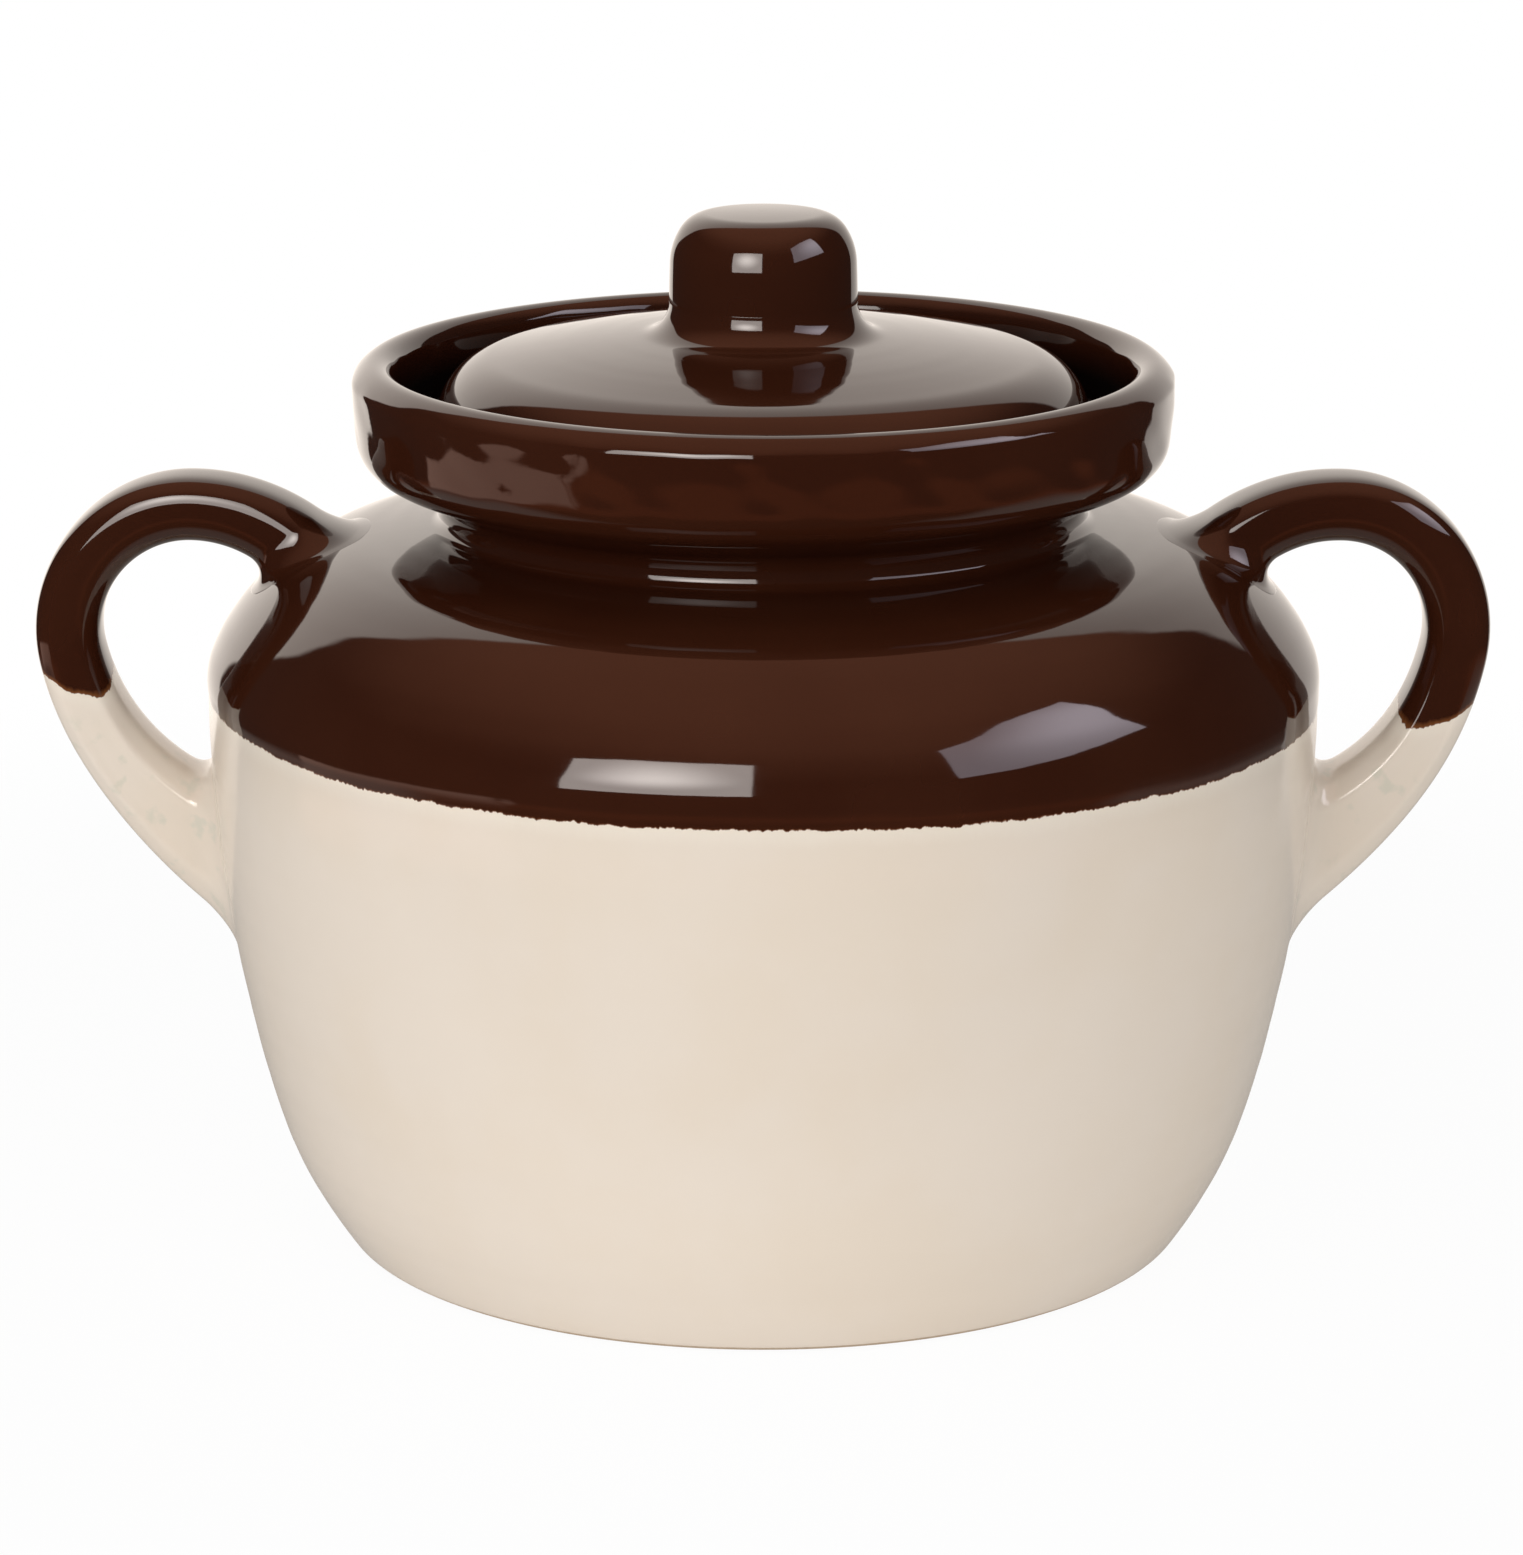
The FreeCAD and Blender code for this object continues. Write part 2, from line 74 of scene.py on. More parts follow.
# ---------------------------------------------------------------- pot
# One vessel thrown from pale stoneware, from its recessed foot to a tall collar with a ledge for
# the lid.  It is glazed cream all over, then dipped upside down in brown, which ends in a ragged
# line round the belly.  The foot ring is wiped bare to stand in the kiln.

MM = 0.001
FULL_TURN = 2 * math.pi

FOOT_RADIUS = 65.5
FOOT_ROUND = 3
FOOT_RING = 9
FOOT_RECESS = 1.5
FLOOR_THICKNESS = 6.5
FLOOR_ROUND = 9
WALL = 6
HEEL_HEIGHT = 24.2
WALL_RATIO = 0.404  # of the way in from belly to foot, run by the time it reaches the heel
BELLY_RADIUS = 88
BELLY_HEIGHT = 91
BELLY_ROUND = 9.5
BELLY_TURN = 24.4
SHOULDER_ROUND = 32.5
SHOULDER_TURN = 82
NECK_RADIUS = 50.7
NECK_FILLET = 2.3
NECK_RUN = 0.6
UNDERCUT_FILLET = 3.2
UNDERCUT_TURN = 67.5
COLLAR_OVERHANG = 13.8
COLLAR_HEIGHT = 15.8
COLLAR_ROUND = 6.2
COLLAR_TURN = 4.1
LIP_EDGE = 1.9
LIP_EDGE_TURN = 28
LIP_BROW = 4.8
LIP_BROW_TURN = 62
LIP_ROUND = 2.8
LIP_GLAZE_FADE = 9  # below the rim, over which the thick of the glaze runs out
GALLERY_DEPTH = 12.7
GALLERY_FILLET = 2.5
THROAT_STEP = 1.3
THROAT_LAND = 5
SMALL_ROUND = 0.7  # of every edge that a sponge has only softened
PIN_RADIUS = 1  # where an outline stops short of the axis
TURN_SPACING = 9  # most degrees from row to row of a round stretch

RIM_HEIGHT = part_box("pot_body")[1].z / MM
LEDGE_HEIGHT = RIM_HEIGHT - GALLERY_DEPTH
FLOOR_HEIGHT = FOOT_RECESS + FLOOR_THICKNESS
THROAT_RADIUS = NECK_RADIUS - WALL + THROAT_STEP


def lean(turn):
    """The outward direction (across, up) of a surface with this turn: (cos turn, sin turn)."""
    return np.array([math.cos(math.radians(turn)), math.sin(math.radians(turn))])


def walk(start, turn, steps, spacing=1.0):
    """Radius, height and turn, row by row, along straight and round stretches laid end to end.

    A round stretch is (bow, end turn): it runs along its centre + bow * (cos turn, sin turn) from
    the turn before it to its own.  A hollow stretch has a negative bow.  A straight stretch is
    ("across", radius) or ("up", height): it runs on along (-sin turn, cos turn) to that measure.
    """
    place = np.array(start, float)
    rows = [np.array([[*place, turn]])]
    for first, second in steps:
        if isinstance(first, str):
            ahead = np.array([-lean(turn)[1], lean(turn)[0]])
            axis = 0 if first == "across" else 1
            length = (second - place[axis]) / ahead[axis]
            share = np.linspace(0, 1, max(2, math.ceil(abs(length) / spacing) + 1))[1:, None]
            points = place + share * length * ahead
            turns = np.full(len(points), float(turn))
        else:
            centre = place - first * lean(turn)
            length = abs(first) * math.radians(abs(second - turn))
            parts = max(length / spacing, abs(second - turn) / TURN_SPACING)
            turns = np.linspace(turn, second, math.ceil(parts) + 1)[1:]
            points = centre + first * np.stack(
                [np.cos(np.radians(turns)), np.sin(np.radians(turns))], axis=1)
            turn = second
        rows.append(np.column_stack([points, turns]))
        place = points[-1]
    return np.vstack(rows)


# the wall curve is plumb at the belly; the heel curve is tangent to it and to the foot's round
wall_drop = WALL_RATIO * (BELLY_RADIUS - FOOT_RADIUS)
wall_rise = BELLY_HEIGHT - HEEL_HEIGHT
WALL_BOW = (wall_rise ** 2 + wall_drop ** 2) / (2 * wall_drop)
WALL_TURN = 2 * math.degrees(math.atan2(wall_drop, wall_rise))
heel_top = np.array([BELLY_RADIUS - wall_drop, HEEL_HEIGHT])
heel_span, heel_rise = heel_top - [FOOT_RADIUS, FOOT_ROUND]
HEEL_BOW = (heel_span ** 2 + heel_rise ** 2 - FOOT_ROUND ** 2) / 2 / (
    heel_span * lean(WALL_TURN)[0] - heel_rise * lean(WALL_TURN)[1] - FOOT_ROUND)
heel_centre = heel_top - HEEL_BOW * lean(-WALL_TURN)


def heel_turn(round_height, bow, small_round):
    """Turn at which a curve about the heel's centre runs into a small round at that height.

    It is the arcsine of (height of the heel's centre - height of the round's) / (the one's bow -
    the other's).
    """
    return math.degrees(math.asin((heel_centre[1] - round_height) / (bow - small_round)))


# the side of the recess comes down to the foot ring at 45 degrees
HALF_CORNER = SMALL_ROUND * (1 - lean(45)[0])
underside = [
    ("across", FOOT_RADIUS - FOOT_RING - FOOT_RECESS), (-SMALL_ROUND, -135),
    ("up", HALF_CORNER), (SMALL_ROUND, -90), ("across", FOOT_RADIUS),
]
heel = [
    (FOOT_ROUND, -heel_turn(FOOT_ROUND, HEEL_BOW, FOOT_ROUND)),
    (HEEL_BOW, -WALL_TURN), (WALL_BOW, 0),
]
shoulder = [
    (BELLY_ROUND, BELLY_TURN), (SHOULDER_ROUND, SHOULDER_TURN),
    ("across", NECK_RADIUS + NECK_FILLET * (1 - lean(SHOULDER_TURN)[0])), (-NECK_FILLET, 0),
]
shoulder_top = walk((BELLY_RADIUS, BELLY_HEIGHT), 0, shoulder[:2])[-1]
neck_height = walk((BELLY_RADIUS, BELLY_HEIGHT), 0, shoulder)[-1, 1]

# the lip: a tight edge, a broad brow and a round top, over a face that leans out a little
edge_drop = LIP_ROUND + (LIP_BROW - LIP_ROUND) * lean(LIP_BROW_TURN)[1] - (
    LIP_BROW - LIP_EDGE) * lean(LIP_EDGE_TURN)[1]
face_rise = COLLAR_HEIGHT - edge_drop - LIP_EDGE * lean(COLLAR_TURN)[1]
corner_radius = NECK_RADIUS + COLLAR_OVERHANG - LIP_EDGE * (1 - lean(COLLAR_TURN)[0]) - (
    face_rise * math.tan(math.radians(COLLAR_TURN)))
corner_cut = COLLAR_ROUND * math.tan(math.radians(UNDERCUT_TURN - COLLAR_TURN) / 2)
collar = [
    ("up", neck_height + NECK_RUN), (-UNDERCUT_FILLET, -UNDERCUT_TURN),
    ("across", corner_radius - corner_cut * lean(UNDERCUT_TURN)[1]), (COLLAR_ROUND, -COLLAR_TURN),
    ("up", RIM_HEIGHT - COLLAR_HEIGHT + face_rise), (LIP_EDGE, LIP_EDGE_TURN),
    (LIP_BROW, LIP_BROW_TURN), (LIP_ROUND, 180 - COLLAR_TURN),
]
gallery = [
    ("up", LEDGE_HEIGHT + GALLERY_FILLET * (1 - lean(COLLAR_TURN)[1])),
    (-GALLERY_FILLET, 90), ("across", THROAT_RADIUS + SMALL_ROUND), (SMALL_ROUND, 180),
    ("up", LEDGE_HEIGHT - THROAT_LAND),
]

# under the throat the inside runs tangent to the neck's inner round
INNER_NECK = NECK_FILLET + WALL
throat_reach = np.array([THROAT_RADIUS - NECK_RADIUS - NECK_FILLET,
                         LEDGE_HEIGHT - THROAT_LAND - neck_height])
THROAT_TURN = math.degrees(math.atan2(throat_reach[1], throat_reach[0])
                           + math.acos(INNER_NECK / np.hypot(*throat_reach)))
INNER_HEEL = HEEL_BOW - WALL
inside = [
    (-SMALL_ROUND, THROAT_TURN), ("up", neck_height + INNER_NECK * lean(THROAT_TURN)[1]),
    (INNER_NECK, 180 + SHOULDER_TURN),
    ("across", shoulder_top[0] - WALL * lean(SHOULDER_TURN)[0]),
    (WALL - SHOULDER_ROUND, 180 + BELLY_TURN), (WALL - BELLY_ROUND, 180),
    (WALL - WALL_BOW, 180 - WALL_TURN),
    (-INNER_HEEL, 180 - heel_turn(FLOOR_HEIGHT + FLOOR_ROUND, INNER_HEEL, FLOOR_ROUND)),
    (-FLOOR_ROUND, 90), ("across", PIN_RADIUS),
]
pot_foot = walk((PIN_RADIUS, FOOT_RECESS), -90, underside, spacing=4.0)
pot_outside = np.vstack([
    pot_foot, walk(pot_foot[-1, :2], -90, heel + shoulder + collar, spacing=0.8)[1:]])
pot_inside = walk(pot_outside[-1, :2], pot_outside[-1, 2], gallery + inside, spacing=3.0)
pot_outline = np.vstack([pot_outside, pot_inside[1:]])

# the dip: the bath lay level, but the pot went in a little askew; its waves are given as
# (count around, height, phase)
DIP_HEIGHT = 88.1
DIP_ASKEW = (-0.4, -1.1)  # towards the front and towards the right
DIP_WAVES = ((3, 0.16, 0.4), (5, 0.12, 2.1), (11, 0.08, 1.0), (23, 0.06, 4.0))
GLAZE_THICKNESS = 0.14
GLAZE_ROLL = 1.3  # over which the glaze thickens from its edge

# the wheel leaves faint rings: (spacing along the outline, height, phase)
WHEEL_RINGS = ((4.1, 0.006, 0.0), (6.7, 0.010, 1.3), (17.0, 0.030, 2.2))
WHEEL_WAVER = 0.2
RINGS_START = (4, 12)  # heights between which they set in
OUT_OF_ROUND = 0.15
OUT_OF_ROUND_PHASE = 0.6

# the potter's sponge leaves the collar wavy: (count around, lean per millimetre up, height)
SPONGE_WAVES = ((31, 0.55, 0.045), (19, -0.40, 0.040), (47, 0.90, 0.018))
SPONGE_START = (1, 5)  # above the foot of the collar
SPONGE_END = (0.5, 3)  # below the rim

WIPED_HEIGHT = 1.2  # to which the foot ring is wiped bare
WIPED_FADE = 0.6
WIPED_RADII = (50, 54)  # between which the bare clay sets in
GALLERY_SHADE_HEIGHT = 10  # over the ledge, up to which the gallery's brown is painted dark as shade
GALLERY_SHADE_FADE = 5


def smooth_step(amount, low, high):
    """0 below low, 1 above high and 3 s^2 - 2 s^3 of the share s between them."""
    share = np.clip((amount - low) / (high - low), 0, 1)
    return share * share * (3 - 2 * share)


def above_dip(points):
    """Height of each point over the dip line, which tilts with the pot and waves a little.

    The line is at dip height + reach * (front * cos a + right * sin a) + every wave's
    height * sin(count * a + phase), as a runs round from the front.
    """
    angle = np.arctan2(points[..., 0], -points[..., 1])
    reach = np.hypot(points[..., 0], points[..., 1]) / BELLY_RADIUS
    front, right = DIP_ASKEW
    line = DIP_HEIGHT + reach * (front * np.cos(angle) + right * np.sin(angle))
    for count, height, phase in DIP_WAVES:
        line = line + height * np.sin(count * angle + phase)
    return points[..., 2] - line


def glaze_depth(over_dip):
    """Thickness of the brown glaze: its full thickness times a smooth step up from the dip line."""
    return GLAZE_THICKNESS * smooth_step(over_dip, 0, GLAZE_ROLL)


def lathe(outline, around):
    """A grid of points and of outward directions: the outline turned about the pot's axis.

    The points are (radius cos a, radius sin a, height), and the directions (cos turn cos a,
    cos turn sin a, sin turn).
    """
    angle = np.linspace(0, FULL_TURN, around, endpoint=False)
    radius, height, turn = outline.T[:, :, None]
    turn = np.radians(turn)
    level = np.ones_like(angle)
    points = np.stack([radius * np.cos(angle), radius * np.sin(angle), height * level], -1)
    outward = np.stack([np.cos(turn) * np.cos(angle), np.cos(turn) * np.sin(angle),
                        np.sin(turn) * level], -1)
    return points, outward


def skin(name, rings, **measures):
    """A closed mesh over a grid of rings, each end closed by a fan to the middle of its ring.

    Place k of ring i joins place k + 1 and ring i + 1.  Each measure becomes an attribute.
    """
    count, around, _ = rings.shape
    points = np.vstack([rings.reshape(-1, 3), rings[:1].mean(1), rings[-1:].mean(1)]) * MM
    ring, place = np.meshgrid(np.arange(count - 1) * around, np.arange(around), indexing="ij")
    beside = (place + 1) % around
    quads = np.stack([ring + place, ring + beside, ring + around + beside,
                      ring + around + place], -1).reshape(-1, 4)
    place, beside = place[0], beside[0]
    last = (count - 1) * around
    first_fan = np.stack([beside, place, np.full(around, count * around)], -1)
    last_fan = np.stack([last + place, last + beside, np.full(around, count * around + 1)], -1)
    mesh = bpy.data.meshes.new(name)
    mesh.from_pydata(points.tolist(), [], quads.tolist() + first_fan.tolist() + last_fan.tolist())
    mesh.shade_smooth()
    for measure, amounts in measures.items():
        ends = [amounts[0].mean(), amounts[-1].mean()]
        attribute = mesh.attributes.new(measure, "FLOAT", "POINT")
        attribute.data.foreach_set("value", np.append(amounts.ravel(), ends).astype(np.float32))
    piece = bpy.data.objects.new(name, mesh)
    scene.collection.objects.link(piece)
    return piece


def shade(tree, kind, inputs=None, **settings):
    """Add a shader node; an input takes a value or the output of another node."""
    node = tree.nodes.new("ShaderNode" + kind)
    for name, setting in settings.items():
        setattr(node, name, setting)
    for name, content in (inputs or {}).items():
        if isinstance(content, bpy.types.NodeSocket):
            tree.links.new(content, node.inputs[name])
        else:
            node.inputs[name].default_value = content
    return node


def mix_colour(tree, share, first, second):
    """The first colour * (1 - share) + the second * share."""
    return shade(tree, "Mix", {0: share, 6: first, 7: second}, data_type="RGBA").outputs[2]


def between(tree, amount, low, high, to_low=0.0, to_high=1.0, kind="SMOOTHSTEP"):
    """The amount carried from low..high to to_low..to_high, by a smooth step or in a line."""
    node = shade(tree, "MapRange", {0: amount, 1: low, 2: high, 3: to_low, 4: to_high},
                 interpolation_type=kind)
    return node.outputs[0]


def arithmetic(tree, operation, *amounts):
    """One step of arithmetic on amounts; MULTIPLY_ADD is first * second + third."""
    return shade(tree, "Math", dict(enumerate(amounts)), operation=operation).outputs[0]


def grain(tree, place, scale, detail=2.0):
    """Noise with features of about 1 / scale metres, from 0 to 1."""
    return shade(tree, "TexNoise", {"Vector": place, "Scale": scale, "Detail": detail}).outputs[0]


CREAM = (0.785, 0.690, 0.590, 1)
CREAM_WARM = (0.775, 0.672, 0.560, 1)
CREAM_HALO = (0.840, 0.760, 0.650, 1)
CREAM_SMUDGE = (0.69, 0.635, 0.53, 1)
BROWN = (0.0320, 0.0078, 0.0032, 1)
BROWN_WARM = (0.0370, 0.0098, 0.0042, 1)
# painted shade: a nearly black brown for the gallery between the lid and the collar
BROWN_PAINTED_SHADE = (0.0040, 0.0022, 0.0018, 1)
AMBER = (0.160, 0.055, 0.018, 1)
BARE_CLAY = (0.560, 0.440, 0.320, 1)
BARE_CLAY_DARK = (0.430, 0.310, 0.210, 1)
CREAM_ROUGHNESS = 0.13
BROWN_ROUGHNESS = 0.045
CLAY_ROUGHNESS = 0.8
GLAZE_IOR = 1.55

# scales of the grains, as grain() takes them
FINE_GRAIN = 1300
COARSE_GRAIN = 300
BROAD_GRAIN = 38
RUN_GRAIN = 1500
SMUDGE_GRAIN = 240
PEEL_GRAIN = 150
RUN_STRETCH = (1, 1, 0.3)  # of the fine runs, which are longer than they are wide

TOOTH_HEIGHT = 0.9  # millimetres that the edge of the brown wanders with its fine runs
WANDER_HEIGHT = 1.0  # and with a coarser grain
EDGE_SOFTNESS = 0.10
HALO_WIDTH = 3.0
HALO_STRENGTH = 0.55
CREAM_MOTTLE = (0.35, 0.7)  # of the broad grain
BROWN_MOTTLE = (0.3, 0.7)
SMUDGE_PATCHES = (0.57, 0.70)  # of their own grain
AMBER_WIDTH = (0.25, 1.1)  # on the pot, and on a handle, where the brown drained thin
PEEL_DEPTH = 0.000012  # metres, of the faint orange peel
CLAY_GRIT = 6.0  # times that deep on bare clay
CLAY_EDGE = (0.60, 0.70)  # of the measure bare, on which the coarse grain counts
CLAY_RAGGED = 0.3  # so much


def glazed_stoneware(name):
    """Cream glaze, brown glaze over it above the dip line, and bare clay where it was wiped.

    It reads five measures of the mesh: over_dip in millimetres, and bare, smudged, pooled
    and drained from 0 to 1.  pooled darkens the brown nearly to black as painted shade.
    """
    material = bpy.data.materials.new(name)
    material.use_nodes = True
    tree = material.node_tree
    surface = tree.nodes["Principled BSDF"]
    place = shade(tree, "TexCoord").outputs["Object"]
    fine = grain(tree, place, FINE_GRAIN)
    coarse = grain(tree, place, COARSE_GRAIN)
    broad = grain(tree, place, BROAD_GRAIN, detail=3)

    # the ragged edge of the brown, from the distance over the dip line, a grain and fine runs
    over_dip = shade(tree, "Attribute", attribute_name="over_dip").outputs["Fac"]
    runs = shade(tree, "VectorMath", {0: place, 1: RUN_STRETCH}, operation="MULTIPLY").outputs[0]
    runs = grain(tree, runs, RUN_GRAIN)
    teeth = arithmetic(tree, "MULTIPLY_ADD", runs, TOOTH_HEIGHT, over_dip)
    teeth = arithmetic(tree, "SUBTRACT", teeth, TOOTH_HEIGHT / 2)
    ragged = arithmetic(tree, "MULTIPLY_ADD", coarse, WANDER_HEIGHT, teeth)
    ragged = arithmetic(tree, "SUBTRACT", ragged, WANDER_HEIGHT / 2)
    brown_share = between(tree, ragged, -EDGE_SOFTNESS, EDGE_SOFTNESS)

    # cream: a faint warm mottle, a paler band just below the brown, and smudges on the handles
    cream = mix_colour(tree, between(tree, broad, *CREAM_MOTTLE), CREAM, CREAM_WARM)
    halo = between(tree, ragged, -HALO_WIDTH, 0.0, 0.0, HALO_STRENGTH)
    cream = mix_colour(tree, halo, cream, CREAM_HALO)
    smudged = shade(tree, "Attribute", attribute_name="smudged").outputs["Fac"]
    patches = between(tree, grain(tree, place, SMUDGE_GRAIN, detail=3), *SMUDGE_PATCHES)
    cream = mix_colour(tree, arithmetic(tree, "MULTIPLY", smudged, patches), cream, CREAM_SMUDGE)

    # brown: mottled, amber where it runs out thin, and painted nearly black as shade in the gallery
    brown = mix_colour(tree, between(tree, broad, *BROWN_MOTTLE), BROWN, BROWN_WARM)
    drained = shade(tree, "Attribute", attribute_name="drained").outputs["Fac"]
    thin = between(tree, drained, 0, 1, *AMBER_WIDTH)
    brown = mix_colour(tree, between(tree, ragged, 0.0, thin, 1.0, 0.0), brown, AMBER)
    pooled = shade(tree, "Attribute", attribute_name="pooled").outputs["Fac"]
    brown = mix_colour(tree, pooled, brown, BROWN_PAINTED_SHADE)
    colour = mix_colour(tree, brown_share, cream, brown)

    # bare clay, its edge broken up by the coarse grain
    bare = shade(tree, "Attribute", attribute_name="bare").outputs["Fac"]
    bare = arithmetic(tree, "MULTIPLY_ADD", coarse, CLAY_RAGGED, bare)
    bare = between(tree, bare, *CLAY_EDGE)
    clay = mix_colour(tree, fine, BARE_CLAY, BARE_CLAY_DARK)
    colour = mix_colour(tree, bare, colour, clay)
    tree.links.new(colour, surface.inputs["Base Color"])

    # gloss, and a faint relief that is rougher on the clay
    roughness = between(tree, brown_share, 0, 1, CREAM_ROUGHNESS, BROWN_ROUGHNESS)
    dry = arithmetic(tree, "MULTIPLY", bare, CLAY_ROUGHNESS)
    roughness = arithmetic(tree, "MAXIMUM", roughness, dry)
    tree.links.new(roughness, surface.inputs["Roughness"])
    surface.inputs["IOR"].default_value = GLAZE_IOR
    grit = arithmetic(tree, "MULTIPLY", bare, CLAY_GRIT)
    peel = grain(tree, place, PEEL_GRAIN)
    depth = arithmetic(tree, "MULTIPLY_ADD", fine, grit, peel)
    bump = shade(tree, "Bump", {"Height": depth, "Strength": 1.0, "Distance": PEEL_DEPTH})
    tree.links.new(bump.outputs[0], surface.inputs["Normal"])
    return material


def wheel_relief(outline, angle):
    """How far the turned surface stands off its outline in rings that waver as they go round.

    Each kind of ring adds height * sin(2 pi * way along the outline / spacing + phase).
    """
    steps = np.hypot(*np.diff(outline[:, :2], axis=0).T)
    along = np.concatenate([[0], np.cumsum(steps)])[:, None]
    return sum(
        height * np.sin(FULL_TURN * along / gap + phase + WHEEL_WAVER * np.sin(angle + phase))
        for gap, height, phase in WHEEL_RINGS)


def out_of_round(angle):
    """How far the pot stands out of round: a height * sin(2 angle + phase)."""
    return OUT_OF_ROUND * np.sin(2 * angle + OUT_OF_ROUND_PHASE)


POT_AROUND = 240
around = np.linspace(0, FULL_TURN, POT_AROUND, endpoint=False)
points, outward = lathe(pot_outline, POT_AROUND)
height = points[..., 2]
under_rim = RIM_HEIGHT - height
over_ledge = height - LEDGE_HEIGHT
over_collar_foot = COLLAR_HEIGHT - under_rim
over_dip = above_dip(points)
is_outside = np.arange(len(pot_outline))[:, None] < len(pot_outside)

swell = wheel_relief(pot_outline, around) + out_of_round(around)
swell = swell * smooth_step(height, *RINGS_START) * is_outside
on_collar = smooth_step(over_collar_foot, *SPONGE_START) * smooth_step(under_rim, *SPONGE_END)
for count, rise, depth in SPONGE_WAVES:
    wave = depth * np.sin(count * around + rise * height + count)
    swell = swell + on_collar * is_outside * wave
swell = swell + glaze_depth(over_dip) * is_outside * smooth_step(under_rim, 0, LIP_GLAZE_FADE)

foot_ring = smooth_step(WIPED_HEIGHT - height, 0, WIPED_FADE)
foot_ring = foot_ring * smooth_step(
    points[..., 0] ** 2 + points[..., 1] ** 2, *np.square(WIPED_RADII))
over_dip = np.where(is_outside, over_dip, LEDGE_HEIGHT)
# painted shade: the brown of the gallery, from the ledge up, is darkened nearly to black
pooled = smooth_step(GALLERY_SHADE_HEIGHT - over_ledge, 0, GALLERY_SHADE_FADE) * smooth_step(over_ledge, -1, 0)
pooled = pooled * ~is_outside
pot = skin("thrown_pot", points + swell[..., None] * outward, over_dip=over_dip, bare=foot_ring,
           pooled=pooled)
stoneware = glazed_stoneware("dipped_stoneware")
pot.data.materials.append(stoneware)
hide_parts("pot_body")
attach(pot, "pot")

# ---------------------------------------------------------------- handles
# A strap of clay pulled by hand, bent into a loop and luted to the shoulder and the belly, where
# the potter's thumb smooths a small fillet all round each root.  Two faint ridges run down the
# front and back of the lower arm.  The dip reaches a little under half way down the loop.

HANDLE_REACH = 22.2
HANDLE_RISE = 26.5
ARM_BOW = 26
GRIP_BOW = 19.5
GRIP_TURN = 103
LOWER_BOW = 46
ARM_ROOT_TURN = 52.5
LOWER_ROOT_TURN = 165
GRIP_THICKNESS = 10.4
GRIP_WIDTH = 14.5
ARM_ROOT_THICKNESS = 12.5
ARM_ROOT_WIDTH = 18
LOWER_ROOT_THICKNESS = 26.5
LOWER_ROOT_WIDTH = 24
STRAP_CORNER = 4.2
CORNER_GROWTH = 0.8  # power of the strap's thickness with which its corners grow
SQUARENESS = 4
ROOT_FILLET = 4.5
ROOT_SKIRT = 0.5  # that the fillet runs on under the pot's glaze
ROOT_SINK = 0.125  # and how deep
ROOT_SWELL = 0.12  # share of a root's swelling that the lower arm has at its top
RIDGE_HEIGHT = 0.5
RIDGE_APART = 0.52  # of the strap's half thickness, as is its width
RIDGE_WIDTH = 0.17
RIDGE_START = (0.42, 0.62)  # of the way down the hanging part
FLANK_START = 0.2  # of cos a, as a runs round the section
WANDER = 0.12  # that the strap strays from its spine
HANDLE_AROUND = 96
HANDLE_ROWS = 200
POINTS_AT_ONCE = 4000
HANDLE_DIP = {"right": -0.4, "left": 1.5}  # over the level of the dip on the pot
HANDLE_RUN = 3.2  # that the brown runs lower in the middle of the front
RUN_TURN = 0.4  # radians round the section, by which that middle faces outwards
SMUDGE_START = (3, 8)  # below the brown

loop_top = (BELLY_RADIUS + HANDLE_REACH - GRIP_BOW, BELLY_HEIGHT + HANDLE_RISE)
arm = walk(loop_top, 90, [(ARM_BOW, 90 + ARM_ROOT_TURN)], spacing=0.25)
arm_swell = ((arm[:, 2] - 90) / ARM_ROOT_TURN) ** 2
hang = walk(loop_top, 90, [(GRIP_BOW, 90 - GRIP_TURN), (LOWER_BOW, 90 - LOWER_ROOT_TURN)],
            spacing=0.25)
hang_swell = (90 - GRIP_TURN - hang[:, 2]) / (LOWER_ROOT_TURN - GRIP_TURN)
hang_swell = np.clip(ROOT_SWELL + (1 - ROOT_SWELL) * hang_swell, 0, None) ** 3
spine = np.vstack([arm[:0:-1], hang])
thickness = GRIP_THICKNESS + np.concatenate([
    (ARM_ROOT_THICKNESS - GRIP_THICKNESS) * arm_swell[:0:-1],
    (LOWER_ROOT_THICKNESS - GRIP_THICKNESS) * hang_swell])
width = GRIP_WIDTH + np.concatenate([
    (ARM_ROOT_WIDTH - GRIP_WIDTH) * arm_swell[:0:-1],
    (LOWER_ROOT_WIDTH - GRIP_WIDTH) * hang_swell])
lower_share = np.concatenate([np.zeros(len(arm) - 1), np.linspace(0, 1, len(hang))])
ridged = smooth_step(lower_share, *RIDGE_START)
section = np.linspace(0, FULL_TURN, HANDLE_AROUND, endpoint=False)

# the part of the pot's outline that a handle can meet
pot_form = pot_outside[pot_outside[:, 1] < RIM_HEIGHT - COLLAR_HEIGHT]
pot_form = pot_form[pot_form[:, 0] > FOOT_RADIUS - 10]


